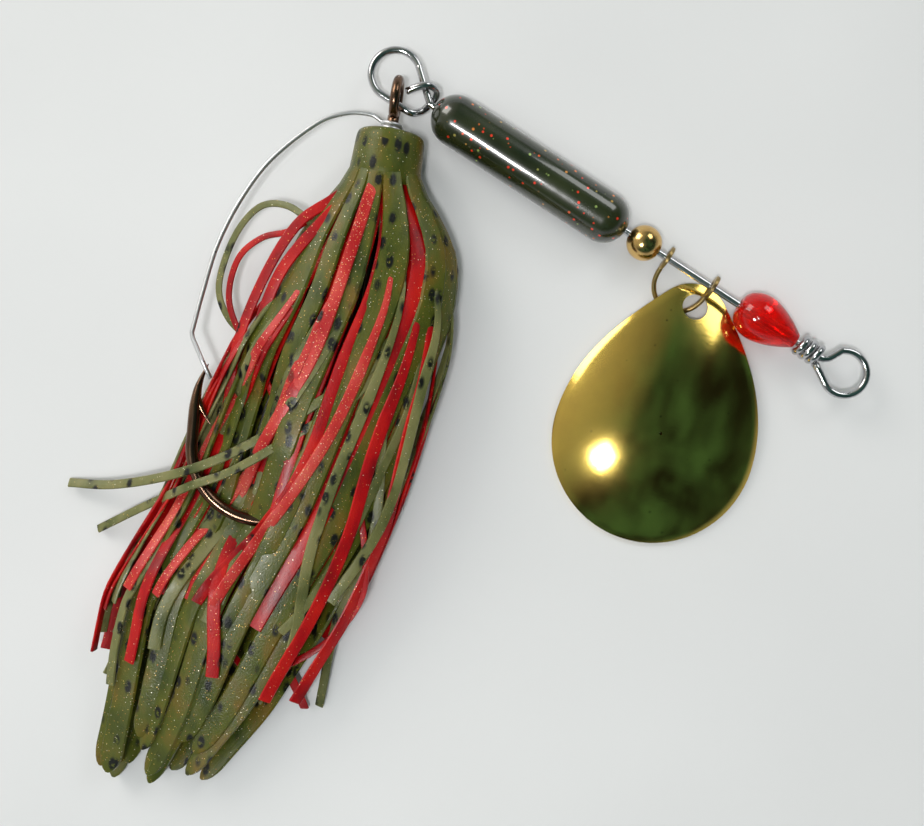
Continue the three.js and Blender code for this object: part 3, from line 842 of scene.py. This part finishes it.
def green(rng, angle, i):
    end = 81.0 - 2.2 * ((i * 5) % 4) - rng.uniform(0, 2)
    wide = 2.25 + rng.uniform(-0.3, 0.5)
    if abs(angle - GAP_ANGLE) < 0.2:
        angle += 0.22
    drift = 0.6 * math.cos(angle) * (1 if math.sin(angle) > 0 else -1)
    return skirt_strand(rng, angle, 0.95, 8.6, end, wide, 0.6, 0.05, round_tip, drift, 0.9, 0.12)


piece(
    "green_skirt",
    *combine(collar_parts(), strands(18, 3, -170, 190, green)),
    GREEN,
    "hook",
    "green_skirt",
    "moulded_skirt",
)


def red(rng, angle, i):
    end = rng.choice((58, 61, 63, 66, 68))
    lift = rng.choice((0.76, 0.8, 0.84, 1.09, 1.12))
    wide = rng.uniform(1.0, 1.5)
    drift = rng.uniform(-0.4, 0.4)
    return skirt_strand(rng, angle, lift, INNER_START, end, wide, THIN, 0.14, square_tip, drift, 0.62)


def window(rng, angle, i):
    """The wide red that shows between two green strands."""

    def shape(t):
        return min(1.0, 0.45 + 3 * t) if t < 0.4 else 1.0 - 0.75 * (t - 0.4)

    return skirt_strand(rng, angle, 0.9, INNER_START, 60, 2.7, THIN, 0.03, shape, 0.3, 0.66)


reds = ["red_strand_%02d" % i for i in range(1, 13)]
red_parts = combine(strands(36, 11, -178, 182, red), strands(1, 5, 50, 50, window))
piece("red_strands", *red_parts, RED, "hook", "red_skirt", *reds)


# Three red strands in the lighter copy of the red silicone, whose colour is painted sheen.
def sheen_red(rng, angle, i):
    end = rng.choice((58, 63, 67))
    return skirt_strand(rng, angle, 1.1, INNER_START, end, 1.25, THIN, 0.1, square_tip, 0.25, 0.62)


def speckled(rng, angle, i):
    end = rng.choice((56, 60, 64, 69))
    lift = rng.choice((0.62, 0.7, 1.06, 1.14))
    wide = rng.uniform(0.9, 1.4)
    drift = rng.uniform(-0.5, 0.5)
    return skirt_strand(rng, angle, lift, INNER_START, end, wide, THIN, 0.16, square_tip, drift, 0.6)


greens = ["green_strand_%02d" % i for i in range(1, 9)]
piece("speckled_strands", *strands(34, 23, -175, 185, speckled), GREY_GREEN, "hook", "green_skirt", *greens)


def loose(points, width, twist):
    path = smooth([on_hook(*p) for p in points], 10)
    return ribbon(path, lambda t: width, THIN, twist)


# Strands that have sprung out of the bundle: (distance from the eye, across, height above the floor)
# for each point, then the width
loose_red = [
    (
        [
            (10.5, -2.6, 5.6), (13.5, -5.6, 6.4), (16.5, -8.8, 5.6), (17.8, -12.3, 4.4),
            (20.5, -14.6, 4.0), (25, -14.9, 4.0), (29, -12.8, 4.2), (33, -9.5, 4.6), (38, -6.5, 4.0),
        ],
        0.75,
    ),
    (
        [
            (10.0, -2.4, 5.4), (12.8, -5.0, 6.6), (16, -8.2, 6.9), (22, -10.9, 6.4), (30, -13.0, 5.2),
            (38, -13.5, 3.6), (47, -16.5, 2.4), (56, -21.0, 1.4), (64.5, -22.8, 0.6),
        ],
        1.2,
    ),
    (
        [
            (10.5, -2.0, 5.6), (15, -5.2, 7.6), (22, -9.3, 7.4), (32, -11.7, 4.4), (42, -13.0, 3.0),
            (52, -18.2, 2.2), (62, -21.2, 1.0), (67, -21.4, 0.6),
        ],
        1.3,
    ),
    (
        [
            (44, 3.0, 8.0), (50, 4.6, 7.0), (55, 5.0, 5.6), (60, 2.6, 4.4), (64, -1.8, 4.0),
            (65.5, -6.0, 4.2), (63, -9.0, 5.0),
        ],
        0.75,
    ),
    (
        [
            (40, -2.0, 9.6), (52, -3.4, 7.4), (62, -3.2, 4.0), (69.5, 0.2, 0.7),
        ],
        1.2,
    ),
    (
        [
            (38, -4.0, 9.6), (50, -5.8, 7.8), (60, -5.2, 4.6), (67, -3.4, 0.8),
        ],
        1.2,
    ),
]
loose_green = [
    (
        [
            (18.0, -4.2, 5.6), (15.6, -6.8, 6.2), (13.9, -10.0, 5.0), (14.4, -13.2, 3.9),
            (18, -15.5, 3.4), (23.5, -16.4, 3.3), (27, -14.8, 3.6), (29, -11.8, 4.6), (29.5, -9.0, 6.4),
        ],
        0.8,
    ),
    (
        [
            (24, 4.5, 7.4), (30, 2.4, 9.0), (36, -4.0, 9.7), (40, -9.0, 7.2), (43, -13.4, 7.0),
            (45.6, -18.8, 5.0), (47.6, -25.0, 2.4), (48.3, -30.3, 0.7),
        ],
        1.1,
    ),
    (
        [
            (29, 3.4, 8.2), (34, 0.8, 9.6), (39, -5.0, 9.4), (43.6, -11.0, 7.4), (46.0, -15.4, 6.6),
            (49.2, -20.6, 3.0), (53.0, -26.2, 0.7),
        ],
        1.0,
    ),
    (
        [
            (36, 4.5, 8.6), (48, 5.2, 6.6), (58, 2.6, 3.8), (69, 1.8, 0.7),
        ],
        1.1,
    ),
]
loose_red_mesh = combine(*[loose(points, width, 0.5) for points, width in loose_red])
piece("loose_red_strands", *loose_red_mesh, RED, "hook", "red_skirt")
across = [(9.5, -0.4, 7.0), (12, -0.8, 8.6), (19, -1.75, 10.0), (29, -3.6, 10.15), (36, -6.2, 9.6)]
across += [(40.5, -8.2, 7.6), (46, -10.2, 4.4), (52.7, -13.1, 3.6), (60, -15.4, 2.4), (65, -16.9, 1.0)]
# The strand across the top and three more round the skirt take the lighter red, whose colour is painted
# sheen.
sheen_red_parts = combine(loose(across, 1.35, 0.3), strands(3, 31, 60, 150, sheen_red))
piece("red_strands_painted_sheen", *sheen_red_parts, RED_PAINTED_SHEEN, "hook", "red_skirt")
loose_green_mesh = combine(*[loose(points, width, 0.4) for points, width in loose_green])
piece("loose_green_strands", *loose_green_mesh, GREY_GREEN, "hook", "green_skirt")

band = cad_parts["skirt_band"]
band.data.materials.clear()
band.data.materials.append(BAND_RUBBER)


# ---- Stage: pale floor and soft light, with two small lamps above the object ----
def floor_finish(n):
    place = n.place((1000, 1000, 1000))
    tone = n.ramp(n.noise(place, 0.02, 2.0), [(0.3, (0.64, 0.645, 0.652)), (0.7, (0.68, 0.685, 0.692))])
    n.finish(
        {
            "Base Color": tone,
            "Roughness": 0.65,
            "Normal": n.bump(n.noise(place, 2.0), 0.03, 0.0001),
        }
    )


HALF_FLOOR = 1.5
corners = [(x * HALF_FLOOR, y * HALF_FLOOR, 0) for x, y in ((-1, -1), (1, -1), (1, 1), (-1, 1))]
floor = bpy.data.objects.new("floor", bpy.data.meshes.new("floor"))
floor.data.from_pydata(corners, [], [(0, 1, 2, 3)])
floor.data.materials.append(material("pale_floor", floor_finish))
bpy.context.scene.collection.objects.link(floor)


def lamp(name, at, target, size, power, color=(1, 1, 1)):
    data = bpy.data.lights.new(name, "AREA")
    data.size = size
    data.energy = power
    data.color = color
    made = bpy.data.objects.new(name, data)
    bpy.context.scene.collection.objects.link(made)
    made.location = at
    made.rotation_euler = (Vector(target) - Vector(at)).to_track_quat("-Z", "Y").to_euler()
    return made


CENTRE = (CAMERA_AT.x * MM, CAMERA_AT.y * MM, 0)
flash = lamp("flash", (CENTRE[0] - 0.004, CENTRE[1] - 0.045, 0.26), CENTRE, 0.03, 0.3)
flash.visible_glossy = False
spark = lamp("spark", (CENTRE[0] - 0.043, CENTRE[1] - 0.116, 0.24), CENTRE, 0.04, 0.42)
spark.visible_diffuse = False
lamp("soft_left", (CENTRE[0] - 0.5, CENTRE[1] + 0.12, 0.3), CENTRE, 0.3, 1.5, (1.0, 0.97, 0.92))
lamp("soft_back", (CENTRE[0] + 0.1, CENTRE[1] + 0.6, 0.5), CENTRE, 0.3, 1.0)

fill = bpy.data.objects.new("fill", bpy.data.lights.new("fill", "SUN"))
fill.data.energy = 0.8
fill.data.angle = math.radians(70)
fill.rotation_euler = (math.radians(12), math.radians(-14), 0)
fill.visible_glossy = False
bpy.context.scene.collection.objects.link(fill)

world = bpy.data.worlds.new("studio")
bpy.context.scene.world = world
world.use_nodes = True
w = Nodes(world.node_tree)
direction = w.add("ShaderNodeTexCoord").outputs["Generated"]
axes = w.add("ShaderNodeSeparateXYZ", {"Vector": direction})
low_sky = w.steps(axes.outputs[2], 0.34, 0.16)
left = w.steps(axes.outputs[0], -0.1, -0.75)
mottle = w.noise(direction, 3.2, 4.0, 0.6)
dark = w.ramp(mottle, [(0.38, (0.01, 0.012, 0.014)), (0.62, (0.06, 0.16, 0.13))])
upper = w.mix(left, dark, (0.6, 0.58, 0.5))
right = w.steps(axes.outputs[0], 0.25, 0.6)
rim = w.mix(right, (0.8, 0.82, 0.86), (0.5, 0.51, 0.54))
sky = w.mix(low_sky, upper, rim)
background = w.add("ShaderNodeBackground", {"Color": sky, "Strength": 0.8})
out = w.add("ShaderNodeOutputWorld")
world.node_tree.links.new(background.outputs[0], out.inputs[0])
bpy.context.scene.view_settings.view_transform = "Standard"
